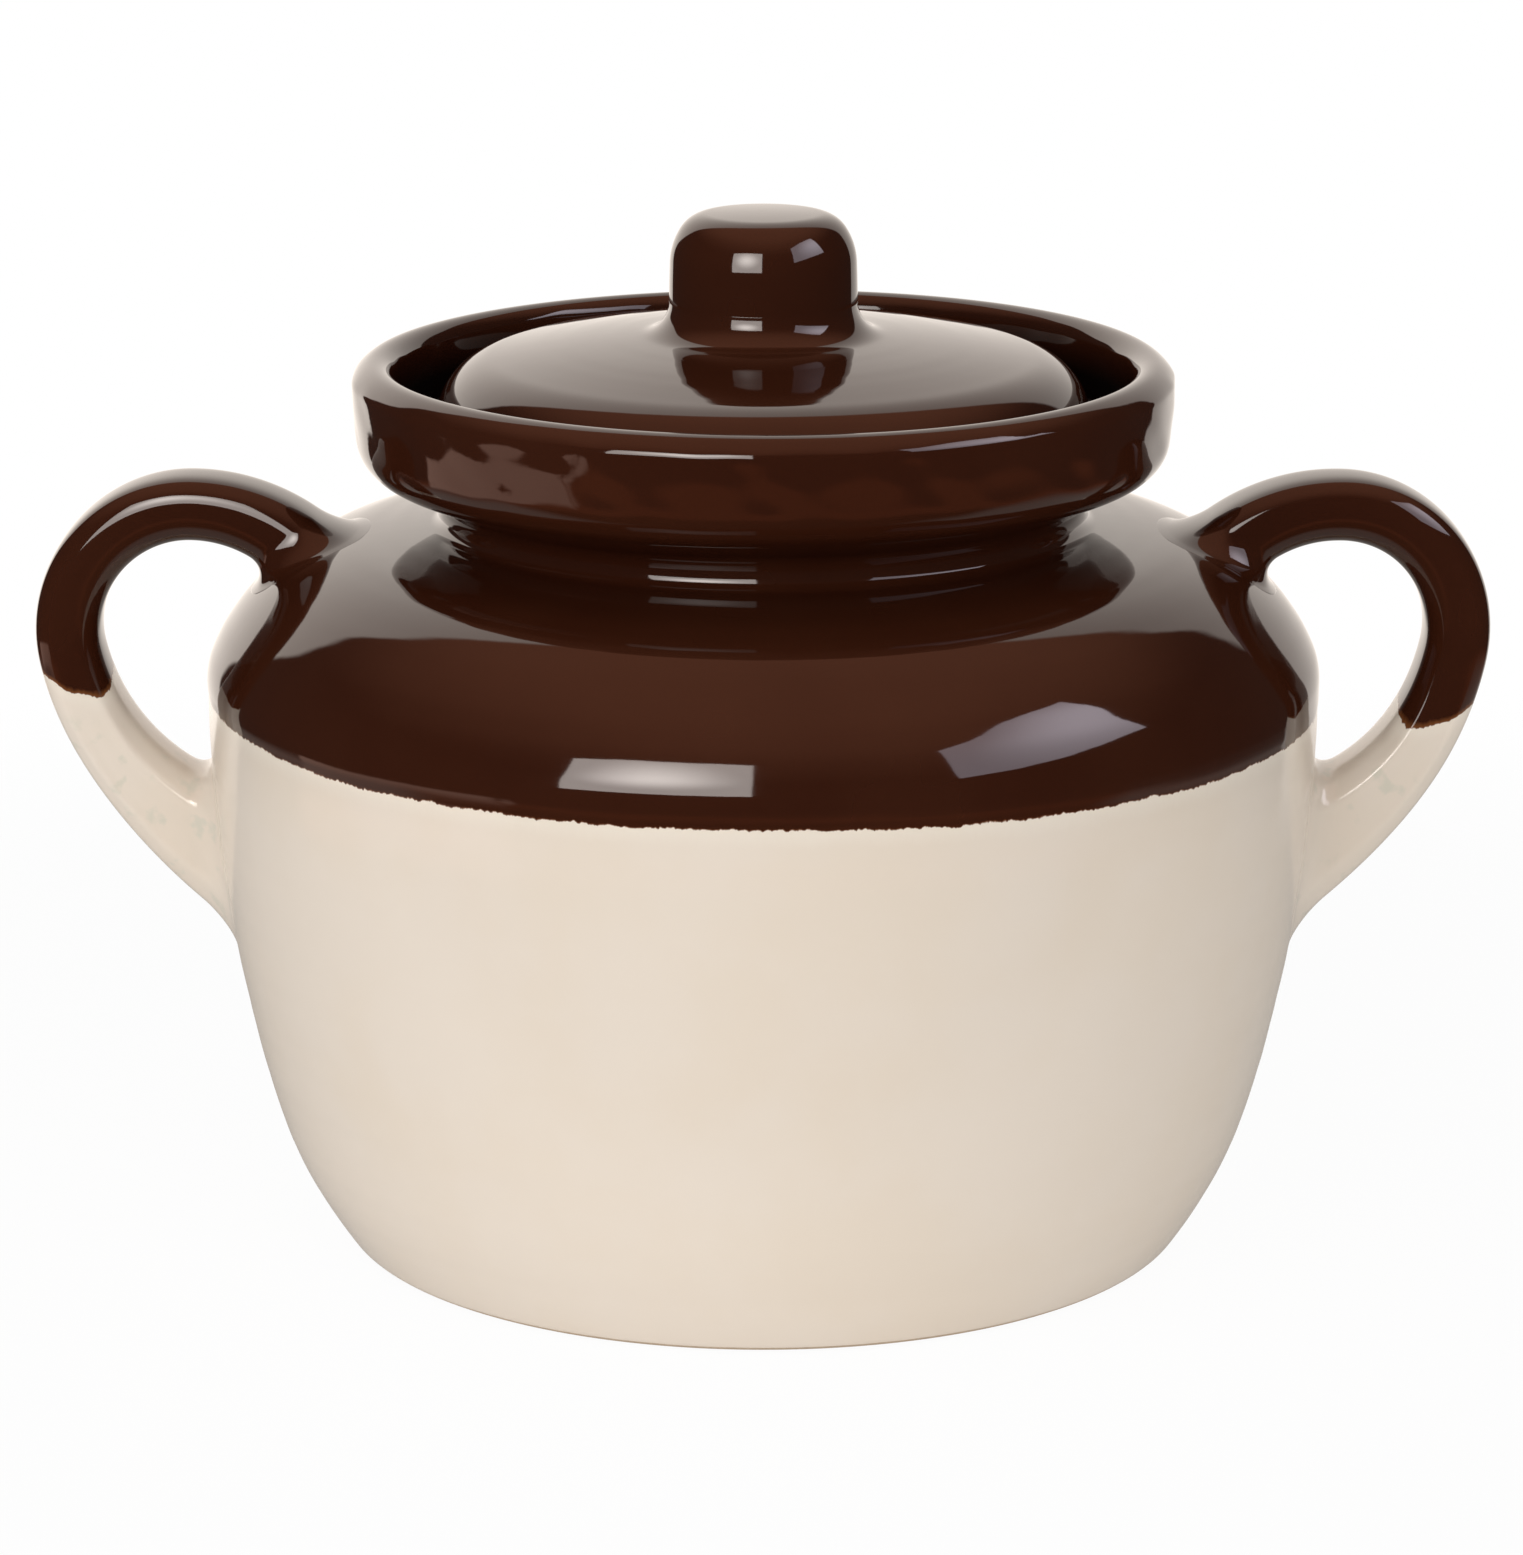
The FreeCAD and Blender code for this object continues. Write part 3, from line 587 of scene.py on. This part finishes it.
def clearance(points):
    """How far points stand off the glazed pot, and its outward direction beside them.

    In the plane of radius and height the nearest row of the outline is found, and the way to it
    is measured along that row's outward direction, less the pot's out-of-round and its glaze.
    """
    radius = np.hypot(points[..., 0], points[..., 1])
    flat = np.stack([radius.ravel(), points[..., 2].ravel()], -1)
    nearest = np.concatenate([
        np.argmin(((part[:, None] - pot_form[None, :, :2]) ** 2).sum(-1), axis=1)
        for part in np.array_split(flat, max(1, len(flat) // POINTS_AT_ONCE))])
    row = pot_form[nearest]
    turn = np.radians(row[:, 2])
    gap = (flat[:, 0] - row[:, 0]) * np.cos(turn) + (flat[:, 1] - row[:, 1]) * np.sin(turn)
    shape = radius.shape
    gap = gap.reshape(shape) - out_of_round(np.arctan2(points[..., 1], points[..., 0]))
    gap = gap - glaze_depth(above_dip(points))
    across = np.cos(turn).reshape(shape) / radius
    outward = np.stack([points[..., 0] * across, points[..., 1] * across,
                        np.sin(turn).reshape(shape)], -1)
    return gap, outward


def strap(phase):
    """The strap along its spine: sections of soft-cornered boxes with two ridges on each flank.

    Half width and half thickness less the corner radius are carried by tanh(4 cos a) / tanh 4
    and tanh(4 sin a) / tanh 4, and the corner radius itself by (cos a, sin a), as a runs round
    the section.  A ridge adds its height * exp(-(way from its crest / its width)^2).
    """
    across, up = np.cos(section), np.sin(section)
    corner = STRAP_CORNER * (thickness / GRIP_THICKNESS)[:, None] ** CORNER_GROWTH
    half_width, half_deep = width[:, None] / 2, thickness[:, None] / 2
    box_across, box_up = (np.tanh(SQUARENESS * way) / math.tanh(SQUARENESS) for way in (across, up))
    beside = (half_width - corner) * box_across + corner * across
    above = (half_deep - corner) * box_up + corner * up
    ridge = np.exp(-((np.abs(above) / half_deep - RIDGE_APART) / RIDGE_WIDTH) ** 2)
    on_flank = np.sign(across) * (np.abs(across) > FLANK_START)
    beside = beside + RIDGE_HEIGHT * ridged[:, None] * ridge * on_flank
    turn = np.radians(spine[:, 2])[:, None]
    out = above + WANDER * np.sin(FULL_TURN * lower_share * 2 + phase)[:, None]
    return np.stack([spine[:, :1] + out * np.cos(turn), beside + 0 * out,
                     spine[:, 1:2] + out * np.sin(turn)], -1)


def trimmed(lines):
    """The strap cut back to where each of its long lines leaves the pot and comes back to it.

    Places from end to end of a line are spread by u - sin(2 pi u) / 9, closer near the roots.
    """
    gap, _ = clearance(lines)
    share = np.arange(len(lines))
    spread = np.linspace(0, 1, HANDLE_ROWS)
    spread = spread - np.sin(FULL_TURN * spread) / 9
    rows = np.empty((HANDLE_ROWS, lines.shape[1], 3))
    for number in range(lines.shape[1]):
        free = np.flatnonzero(gap[:, number] > 0)
        start, end = free[0], free[-1]
        start = start - gap[start, number] / (gap[start, number] - gap[start - 1, number])
        end = end + gap[end, number] / (gap[end, number] - gap[end + 1, number])
        wanted = start + (end - start) * spread
        rows[:, number] = np.stack(
            [np.interp(wanted, share, lines[:, number, axis]) for axis in range(3)], -1)
    return rows


def filleted(rows):
    """The strap with a round fillet at each root.

    A point that stands d off the pot, nearer than the fillet radius r, moves along the pot's
    surface, away from the strap, by r - sqrt(r^2 - (r - d)^2), and is put back to its distance d.
    Putting back fades out from r to 1.5 r off the pot.
    """
    gap, outward = clearance(rows)
    middle = rows.mean(1, keepdims=True)
    away = rows - middle
    away = away - (away * outward).sum(-1, keepdims=True) * outward
    away = away / np.linalg.norm(away, axis=-1, keepdims=True)
    short = np.clip(ROOT_FILLET - gap, 0, ROOT_FILLET)
    shift = ROOT_FILLET - np.sqrt(ROOT_FILLET ** 2 - short ** 2)
    moved = rows + shift[..., None] * away
    gap_now, outward = clearance(moved)
    near = smooth_step(ROOT_FILLET * 1.5 - gap, 0, ROOT_FILLET / 2)
    moved = moved + ((gap - gap_now) * near)[..., None] * outward
    # one more ring under the glaze at each end
    skirts = [moved[end] + ROOT_SKIRT * away[end] - ROOT_SINK * outward[end] for end in (0, -1)]
    return np.concatenate([skirts[0][None], moved, skirts[1][None]])


for side, sign, phase in (("right", 1, 0.4), ("left", -1, 1.9)):
    rows = filleted(trimmed(strap(phase))) * np.array([sign, sign, 1])
    run = HANDLE_RUN * np.cos(section - RUN_TURN * sign) ** 2
    over_dip = above_dip(rows) - HANDLE_DIP[side] + run
    smudged = smooth_step(-over_dip, *SMUDGE_START)
    handle = skin("strap_handle_" + side, rows, over_dip=over_dip, smudged=smudged,
                  drained=np.ones_like(over_dip))
    handle.data.materials.append(stoneware)
    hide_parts("handle_" + side)
    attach(handle, "pot")

# ---------------------------------------------------------------- lid
# A loose turned lid: a shallow dome of even thickness with a full edge.  A ring below it hangs in
# the throat and keeps it from sliding off.  It is glazed brown, apart from its seat and ring,
# which are wiped so that they don't fuse to the pot in the kiln.

LID_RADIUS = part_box("lid")[1].x / MM
LID_THICKNESS = 5.5
LID_EDGE = 2.6
EDGE_ROUND = 10.8
CROWN_TURN = 78.5
LOCATING_CLEARANCE = 1.5
LOCATING_DEPTH = 6
LOCATING_THICKNESS = 4.5
LOCATING_ROUND = 1.5
HOLLOW_STOP = 3  # degrees from the ring at which its inner fillet begins
KNOB_RADIUS = 14.8
KNOB_FILLET = 5
HIDDEN_ROUND = 0.3  # of the two edges that the joint of knob and lid hides
LID_RINGS = 0.5  # of the height of the wheel rings on the pot
LID_RINGS_START = (1, 4)  # over the ledge
SEAT_EDGE = 0.5  # that the bare clay reaches over the seat and inside the ring

BOSS_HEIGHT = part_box("lid")[1].z / MM
locating_radius = THROAT_RADIUS - LOCATING_CLEARANCE
hollow_radius = locating_radius - LOCATING_THICKNESS
crown_foot = walk((LID_RADIUS, LEDGE_HEIGHT + LID_EDGE), 0, [(EDGE_ROUND, CROWN_TURN)])[-1]
CROWN_BOW = crown_foot[0] / lean(CROWN_TURN)[0]
crown_centre = crown_foot[1] - CROWN_BOW * lean(CROWN_TURN)[1]
boss_turn = math.degrees(math.acos((KNOB_RADIUS + KNOB_FILLET) / (CROWN_BOW + KNOB_FILLET)))
inner_crown = CROWN_BOW - LID_THICKNESS
hollow_turn = math.degrees(math.asin(hollow_radius / inner_crown))
lid_under = [
    (-inner_crown, -90 - hollow_turn + HOLLOW_STOP), (-LOCATING_ROUND, -180),
    ("up", LEDGE_HEIGHT - LOCATING_DEPTH + LOCATING_ROUND), (LOCATING_ROUND, -90),
    ("across", locating_radius - LOCATING_ROUND), (LOCATING_ROUND, 0),
    ("up", LEDGE_HEIGHT - SMALL_ROUND), (-SMALL_ROUND, -90),
    ("across", LID_RADIUS - SMALL_ROUND), (SMALL_ROUND, 0), ("up", LEDGE_HEIGHT + LID_EDGE),
]
lid_over = [
    (EDGE_ROUND, CROWN_TURN), (CROWN_BOW, boss_turn), (-KNOB_FILLET, 0), (HIDDEN_ROUND, 90),
    ("across", PIN_RADIUS),
]
under_outline = walk((PIN_RADIUS, crown_centre + inner_crown), -90, lid_under, spacing=1.5)
lid_outline = np.vstack([
    under_outline, walk(under_outline[-1, :2], 0, lid_over, spacing=0.8)[1:]])

LID_AROUND = 192
around = np.linspace(0, FULL_TURN, LID_AROUND, endpoint=False)
points, outward = lathe(lid_outline, LID_AROUND)
over_ledge = points[..., 2] - LEDGE_HEIGHT
swell = LID_RINGS * smooth_step(over_ledge, *LID_RINGS_START) * wheel_relief(lid_outline, around)
radius = np.hypot(points[..., 0], points[..., 1])
seat = smooth_step(radius, hollow_radius - SEAT_EDGE, hollow_radius) * (over_ledge < SEAT_EDGE)
lid = skin("turned_lid", points + swell[..., None] * outward,
           over_dip=np.full_like(seat, LEDGE_HEIGHT), bare=seat)
lid.data.materials.append(stoneware)
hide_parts("lid")
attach(lid, "lid_set")

# ---------------------------------------------------------------- knob
# A turned knob whose side bows in a little, its upper edge rounded broadly and then tighter, and
# its top slightly crowned.  Its foot is luted to the boss of the lid under one coat of glaze.

KNOB_SIDE = 155
KNOB_SIDE_TURN = 2.34
KNOB_SHOULDER = 10.5
KNOB_SHOULDER_TURN = 33
KNOB_TOP_ROUND = 5.2
KNOB_CROWN_TURN = 86.5
KNOB_TOP_TURN = 89.6
KNOB_SINK = 0.8  # of its foot in the slip on the boss

knob_side = [(KNOB_SIDE, KNOB_SIDE_TURN), (KNOB_SHOULDER, KNOB_SHOULDER_TURN),
             (KNOB_TOP_ROUND, KNOB_CROWN_TURN)]
knob_edge = walk((KNOB_RADIUS, BOSS_HEIGHT), 0, knob_side)[-1]
KNOB_CROWN = knob_edge[0] / lean(KNOB_CROWN_TURN)[0]
knob_outline = walk((PIN_RADIUS, BOSS_HEIGHT - KNOB_SINK), -90, [
    ("across", KNOB_RADIUS - HIDDEN_ROUND), (HIDDEN_ROUND, 0), ("up", BOSS_HEIGHT), *knob_side,
    (KNOB_CROWN, KNOB_TOP_TURN)], spacing=0.5)

KNOB_AROUND = 128
points, outward = lathe(knob_outline, KNOB_AROUND)
knob = skin("turned_knob", points, over_dip=np.full(points.shape[:2], LEDGE_HEIGHT))
knob.data.materials.append(stoneware)
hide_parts("lid_knob")
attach(knob, "lid_set")

# ---------------------------------------------------------------- floor
# A round white card under the pot, which keeps its shadow and fades out into the white room.  It
# glows a little, and the glazes mirror the wood of the table in front and its paler back.

FLOOR_RADIUS = 0.7
FLOOR_AROUND = 96
CARD_RADIUS = 0.24
CARD_FADE = 0.16
CARD_WHITE = (0.92, 0.92, 0.92, 1)
CARD_GLOW = 0.95  # share of the card's white that takes no shadow
CARD_LIGHT = 0.45  # the same for the light that it throws on the pot
TABLE_WOOD = (0.28, 0.085, 0.045, 1)
TABLE_SHADE = (0.05, 0.03, 0.02, 1)  # in front of the pot's foot
TABLE_BACK = (0.40, 0.37, 0.34, 1)
SHADE_RADII = (0.26, 0.34)  # between which the shade gives way to the wood
BACK_STARTS = (-0.15, -0.09)  # places along Y between which the back of the table sets in

rim = np.linspace(0, FULL_TURN, FLOOR_AROUND, endpoint=False)
card = bpy.data.meshes.new("floor")
card.from_pydata(
    np.stack([FLOOR_RADIUS * np.cos(rim), FLOOR_RADIUS * np.sin(rim), 0 * rim], -1).tolist(),
    [], [list(range(len(rim)))])
floor = bpy.data.objects.new("floor", card)
scene.collection.objects.link(floor)

white_card = bpy.data.materials.new("white_card")
white_card.use_nodes = True
tree = white_card.node_tree
tree.nodes.clear()
place = shade(tree, "TexCoord").outputs["Object"]
away = shade(tree, "VectorMath", {0: place}, operation="LENGTH").outputs["Value"]
fade = between(tree, away, CARD_RADIUS, CARD_RADIUS + CARD_FADE)
lit = shade(tree, "BsdfDiffuse", {"Color": CARD_WHITE}).outputs[0]
glow = shade(tree, "Emission", {"Color": (1, 1, 1, 1), "Strength": 1.0}).outputs[0]
ray = shade(tree, "LightPath").outputs
glows = arithmetic(tree, "MAXIMUM",
                   arithmetic(tree, "MULTIPLY", ray["Is Camera Ray"], CARD_GLOW),
                   arithmetic(tree, "MULTIPLY", ray["Is Diffuse Ray"], CARD_LIGHT))
lit = shade(tree, "MixShader", {0: glows, 1: lit, 2: glow}).outputs[0]
towards_back = shade(tree, "SeparateXYZ", {0: place}).outputs["Y"]
towards_back = between(tree, towards_back, *BACK_STARTS)
mirrored = mix_colour(tree, between(tree, away, *SHADE_RADII), TABLE_SHADE, TABLE_WOOD)
mirrored = mix_colour(tree, towards_back, mirrored, TABLE_BACK)
mirrored = shade(tree, "Emission", {"Color": mirrored}).outputs[0]
lit = shade(tree, "MixShader", {0: ray["Is Glossy Ray"], 1: lit, 2: mirrored}).outputs[0]
clear = shade(tree, "BsdfTransparent").outputs[0]
whole = shade(tree, "MixShader", {0: fade, 1: lit, 2: clear}).outputs[0]
shade(tree, "OutputMaterial", {"Surface": whole})
card.materials.append(white_card)

# ---------------------------------------------------------------- room and lamps
# A white backdrop stands behind the pot, round-topped in the glaze and brighter on the left.  The
# ceiling and the table to the left are brown wood, and the rest of the room is dim.  Two upright
# soft boxes face the pot, a warm one beside the camera and a bluish one to the right.

BACKDROP_LEFT = (1.62, 1.47, 1.33, 1)
BACKDROP_RIGHT = (0.95, 0.87, 0.80, 1)
BACKDROP_HALF_WIDTH = (0.80, 1.10)  # at the table and high up, of a backdrop one away
BACKDROP_ASIDE = (0.16, -0.10)  # of its middle, to the right
BACKDROP_TOP = 2.1
BACKDROP_RISE = (-0.05, 0.45)  # of up, over which its low measures give way to its high ones
BACKDROP_EDGE = (-0.02, 0.03)
BACKDROP_BLEND = (-0.7, 0.7)  # across, from its left colour to its right one
ROOM_DIM = (0.030, 0.026, 0.024, 1)
CEILING = (0.62, 0.26, 0.16, 1)
CEILING_RISE = (0.45, 0.98)  # of up
TABLE = (1.10, 0.68, 0.54, 1)
TABLE_EDGES = (-1.95, -0.93)  # its azimuths, in radians from the front
TABLE_EDGE_BLUR = 0.03
TABLE_WAVER = 0.35
TABLE_GRAIN = 7
TABLE_FAR_EDGE = (-0.262, -0.280)  # of up
TABLE_NEAR_EDGE = (-0.42, -0.37)
WOOD_EDGE = (-0.29, -0.37)  # of up, over which the room gives way to the wood below it
ROOM_LIGHT = (0.52, 0.52, 0.52, 1)

room = bpy.data.worlds.new("room")
scene.world = room
room.use_nodes = True
tree = room.node_tree
tree.nodes.clear()
sky = shade(tree, "TexCoord").outputs["Generated"]
across, back, up = shade(tree, "SeparateXYZ", {0: sky}).outputs

# the backdrop is where back is over the length of (across / half width, up / top)
half_width = between(tree, up, *BACKDROP_RISE, *BACKDROP_HALF_WIDTH)
aside = arithmetic(tree, "MULTIPLY", back, between(tree, up, *BACKDROP_RISE, *BACKDROP_ASIDE))
aside = arithmetic(tree, "SUBTRACT", across, aside)
above_table = arithmetic(tree, "MAXIMUM", up, 0)
reach = shade(tree, "CombineXYZ", {
    0: arithmetic(tree, "DIVIDE", aside, half_width),
    1: arithmetic(tree, "DIVIDE", above_table, BACKDROP_TOP)}).outputs[0]
reach = shade(tree, "VectorMath", {0: reach}, operation="LENGTH").outputs["Value"]
inside_backdrop = between(tree, arithmetic(tree, "SUBTRACT", back, reach), *BACKDROP_EDGE)
backdrop = between(tree, across, *BACKDROP_BLEND)
backdrop = mix_colour(tree, backdrop, BACKDROP_LEFT, BACKDROP_RIGHT)

# the lit part of the table lies between two azimuths, its side edges wavering with the grain
azimuth = arithmetic(tree, "ARCTAN2", across, arithmetic(tree, "MULTIPLY", back, -1))
azimuth = arithmetic(tree, "MULTIPLY_ADD", grain(tree, sky, TABLE_GRAIN), TABLE_WAVER, azimuth)
left, right = (edge + TABLE_WAVER / 2 for edge in TABLE_EDGES)
on_table = between(tree, azimuth, left - TABLE_EDGE_BLUR, left + TABLE_EDGE_BLUR)
for edge in (between(tree, azimuth, right + TABLE_EDGE_BLUR, right - TABLE_EDGE_BLUR),
             between(tree, up, *TABLE_FAR_EDGE), between(tree, up, *TABLE_NEAR_EDGE)):
    on_table = arithmetic(tree, "MULTIPLY", on_table, edge)

mirrored = mix_colour(tree, between(tree, up, *CEILING_RISE), ROOM_DIM, CEILING)
mirrored = mix_colour(tree, between(tree, up, *WOOD_EDGE), mirrored, TABLE_WOOD)
mirrored = mix_colour(tree, on_table, mirrored, TABLE)
mirrored = mix_colour(tree, inside_backdrop, mirrored, backdrop)
ray = shade(tree, "LightPath").outputs
light = mix_colour(tree, ray["Is Glossy Ray"], ROOM_LIGHT, mirrored)
light = mix_colour(tree, ray["Is Camera Ray"], light, (1, 1, 1, 1))
background = shade(tree, "Background", {"Color": light}).outputs[0]
shade(tree, "OutputWorld", {"Surface": background})

LAMP_TARGET = Vector((0, -0.06, 0.09))
LAST_BOUNCES = (2.2, 3.6)  # ray depths over which a lamp fades from the glaze


def direction(azimuth, elevation):
    """The way to this azimuth and elevation: azimuth 0 is the camera's side, 90 the right.

    It is (sin azimuth cos elevation, -cos azimuth cos elevation, sin elevation).
    """
    azimuth, elevation = math.radians(azimuth), math.radians(elevation)
    return Vector((math.sin(azimuth) * math.cos(elevation),
                   -math.cos(azimuth) * math.cos(elevation), math.sin(elevation)))


def soft_box(name, place, faces, size, roll, radiance, colour):
    """A rectangular lamp, its place an azimuth, an elevation and a distance from the pot.

    Its power is radiance * pi * area.
    """
    lamp = bpy.data.lights.new(name, "AREA")
    lamp.shape = "RECTANGLE"
    lamp.size, lamp.size_y = size
    lamp.energy = radiance * math.pi * size[0] * size[1]
    lamp.color = colour
    box = bpy.data.objects.new(name, lamp)
    turned = direction(*faces).to_track_quat("Z", "Y").to_matrix().to_4x4()
    box.matrix_world = (Matrix.Translation(LAMP_TARGET + place[2] * direction(*place[:2]))
                        @ turned @ Matrix.Rotation(math.radians(roll), 4, "Z"))
    box.visible_camera = False
    scene.collection.objects.link(box)
    return box


def show_in_glaze(box, spot, spread, hot):
    """Show a lamp only in the glazes, and dimmer in a reflection of a reflection.

    The spot is a share of its width and height.  The lamp is 1 + hot times as bright there, and
    the hot part fades out by a smooth step over the spread.
    """
    box.visible_diffuse = False
    box.data.use_nodes = True
    tree = box.data.node_tree
    place = shade(tree, "NewGeometry").outputs["Parametric"]
    off = shade(tree, "VectorMath", {0: place, 1: (*spot, 0)}, operation="DISTANCE")
    shine = between(tree, off.outputs["Value"], 0.0, spread, 1 + hot, 1.0)
    depth = shade(tree, "LightPath").outputs["Ray Depth"]
    shine = arithmetic(
        tree, "MULTIPLY", shine, between(tree, depth, *LAST_BOUNCES, 1.0, 0.0, kind="LINEAR"))
    tree.links.new(shine, tree.nodes["Emission"].inputs["Strength"])


left_box = soft_box(
    "left_box_in_glaze", place=(-23.8, 26.6, 0.6), faces=(-13.5, 8.0), size=(0.407, 0.365),
    roll=1.3, radiance=5.4, colour=(1.0, 0.93, 0.88))
show_in_glaze(left_box, spot=(0.5, 0.6), spread=0.5, hot=1.35)
right_box = soft_box(
    "right_box_in_glaze", place=(65.0, 39.0, 0.8), faces=(76.3, -6.6), size=(0.557, 0.435),
    roll=0.4, radiance=2.2, colour=(0.93, 0.87, 0.98))
show_in_glaze(right_box, spot=(0.85, 0.5), spread=0.75, hot=1.2)

# the light that they throw on clay and glaze comes from broader boxes that no glaze mirrors
for name, azimuth, radiance in (("left_box", -38, 1.70), ("right_box", 25, 0.92)):
    broad_box = soft_box(name, place=(azimuth, 20, 1.3), faces=(azimuth, 20), size=(1.2, 1.2),
                         roll=0, radiance=radiance, colour=(1, 1, 1))
    broad_box.visible_glossy = False
